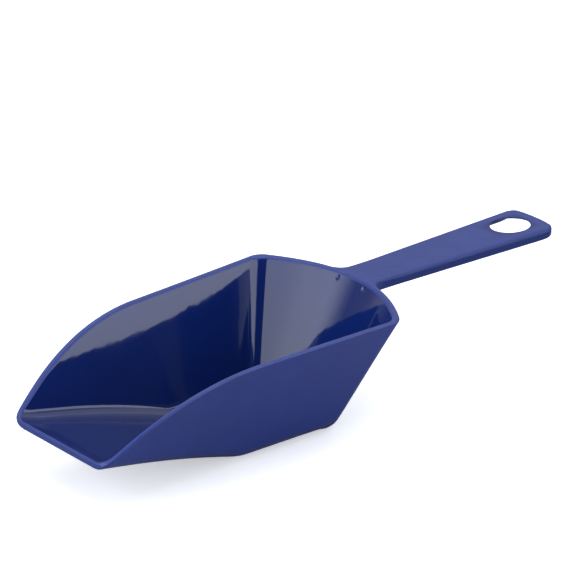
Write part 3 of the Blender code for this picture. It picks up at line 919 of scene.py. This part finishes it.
def softbox(name, azimuth, elevation, distance, width, height, radiance, fade=None, tint=(0.95, 1.0, 1.10)):
    """Area light facing AIM.  Azimuth is measured from +X towards +Y, in degrees.

    fade = (start, end, low): across the width the light rises from low to full between start and end (0..1).
    """
    a, e = math.radians(azimuth), math.radians(elevation)
    way = Vector((math.cos(a) * math.cos(e), math.sin(a) * math.cos(e), math.sin(e)))
    data = bpy.data.lights.new(name, "AREA")
    data.shape = "RECTANGLE"
    data.size, data.size_y = width, height
    data.energy = radiance * 4.0 * width * height
    data.color = tint
    if fade:
        data.use_nodes = True
        tree = data.node_tree
        place = tree.nodes.new("ShaderNodeNewGeometry").outputs["Parametric"]
        split = tree.nodes.new("ShaderNodeSeparateXYZ")
        rise = tree.nodes.new("ShaderNodeMapRange")
        rise.interpolation_type = "SMOOTHSTEP"
        tree.links.new(place, split.inputs[0])
        tree.links.new(split.outputs[0], rise.inputs["Value"])
        for key, v in (("From Min", fade[0]), ("From Max", fade[1]), ("To Min", fade[2]), ("To Max", 1.0)):
            rise.inputs[key].default_value = v
        tree.links.new(rise.outputs["Result"], tree.nodes["Emission"].inputs["Strength"])
    ob = bpy.data.objects.new(name, data)
    ob.location = AIM + way * distance
    ob.rotation_mode = "QUATERNION"
    ob.rotation_quaternion = (-way).to_track_quat("-Z", "Y")
    ob.visible_camera = False
    bpy.context.scene.collection.objects.link(ob)
    return ob


softbox("softbox_right", -70.0, 16.0, 1.5, 2.10, 0.92, 1.85)
softbox("softbox_left", 165.0, 22.0, 1.5, 2.12, 1.26, 2.2, fade=(0.0, 0.36, 0.08))
softbox("softbox_front_right", -14.0, 38.0, 1.6, 0.90, 0.60, 0.5)
softbox("softbox_top", 45.0, 84.0, 1.7, 2.2, 2.2, 1.1)


def studio_world():
    """Even soft surroundings, darker on the side where the camera stands in the unlit part of the room."""
    world = bpy.data.worlds.new("studio")
    world.use_nodes = True
    tree = world.node_tree
    tree.nodes.clear()
    new, link = tree.nodes.new, tree.links.new
    way = new("ShaderNodeTexCoord").outputs["Generated"]
    a, e = math.radians(221.0), math.radians(26.0)
    dot = new("ShaderNodeVectorMath")
    dot.operation = "DOT_PRODUCT"
    link(way, dot.inputs[0])
    dot.inputs[1].default_value = (math.cos(a) * math.cos(e), math.sin(a) * math.cos(e), math.sin(e))
    fall = new("ShaderNodeMapRange")
    fall.interpolation_type = "SMOOTHSTEP"
    link(dot.outputs["Value"], fall.inputs["Value"])
    for key, v in (("From Min", 0.72), ("From Max", 0.90), ("To Min", 0.66), ("To Max", 0.012)):
        fall.inputs[key].default_value = v
    a, e = math.radians(122.0), math.radians(12.0)
    dot2 = new("ShaderNodeVectorMath")
    dot2.operation = "DOT_PRODUCT"
    link(way, dot2.inputs[0])
    dot2.inputs[1].default_value = (math.cos(a) * math.cos(e), math.sin(a) * math.cos(e), math.sin(e))
    dip = new("ShaderNodeMapRange")
    dip.interpolation_type = "SMOOTHSTEP"
    link(dot2.outputs["Value"], dip.inputs["Value"])
    for key, v in (("From Min", 0.93), ("From Max", 0.99), ("To Min", 1.0), ("To Max", 0.6)):
        dip.inputs[key].default_value = v
    level = new("ShaderNodeMath")
    level.operation = "MULTIPLY"
    link(fall.outputs["Result"], level.inputs[0])
    link(dip.outputs["Result"], level.inputs[1])
    room, seen = new("ShaderNodeBackground"), new("ShaderNodeBackground")
    room.inputs["Color"].default_value = (0.96, 0.975, 1.0, 1.0)
    link(level.outputs[0], room.inputs["Strength"])
    seen.inputs["Color"].default_value = (0.96, 0.965, 0.975, 1.0)
    mix, out = new("ShaderNodeMixShader"), new("ShaderNodeOutputWorld")
    link(new("ShaderNodeLightPath").outputs["Is Camera Ray"], mix.inputs[0])
    link(room.outputs[0], mix.inputs[1])
    link(seen.outputs[0], mix.inputs[2])
    link(mix.outputs[0], out.inputs["Surface"])
    return world


scene = bpy.context.scene
scene.world = studio_world()
scene.view_settings.view_transform = "Standard"

# ---------------------------------------------------------------- camera
FRAME = 576.0
cam = bpy.data.cameras.new("camera")
cam.sensor_width = 36.0
cam.lens = 3847.8 / FRAME * 36.0
cam.shift_x, cam.shift_y = -0.5 / FRAME, 0.5 / FRAME
cam.clip_start, cam.clip_end = 0.01, 50.0
eye = bpy.data.objects.new("camera", cam)
forward = Vector((0.594770, 0.693334, -0.406862)).normalized()
right = forward.cross(Vector((0.0, 0.0, 1.0))).normalized()
rise = right.cross(forward)
roll = math.atan2(0.001668, 0.913488)
side = right * math.cos(roll) + rise * math.sin(roll)
rise = side.cross(forward)
eye.matrix_world = Matrix(((side.x, rise.x, -forward.x, -1.20057), (side.y, rise.y, -forward.y, -1.38425),
                           (side.z, rise.z, -forward.z, 0.88285), (0, 0, 0, 1)))
scene.collection.objects.link(eye)
scene.camera = eye
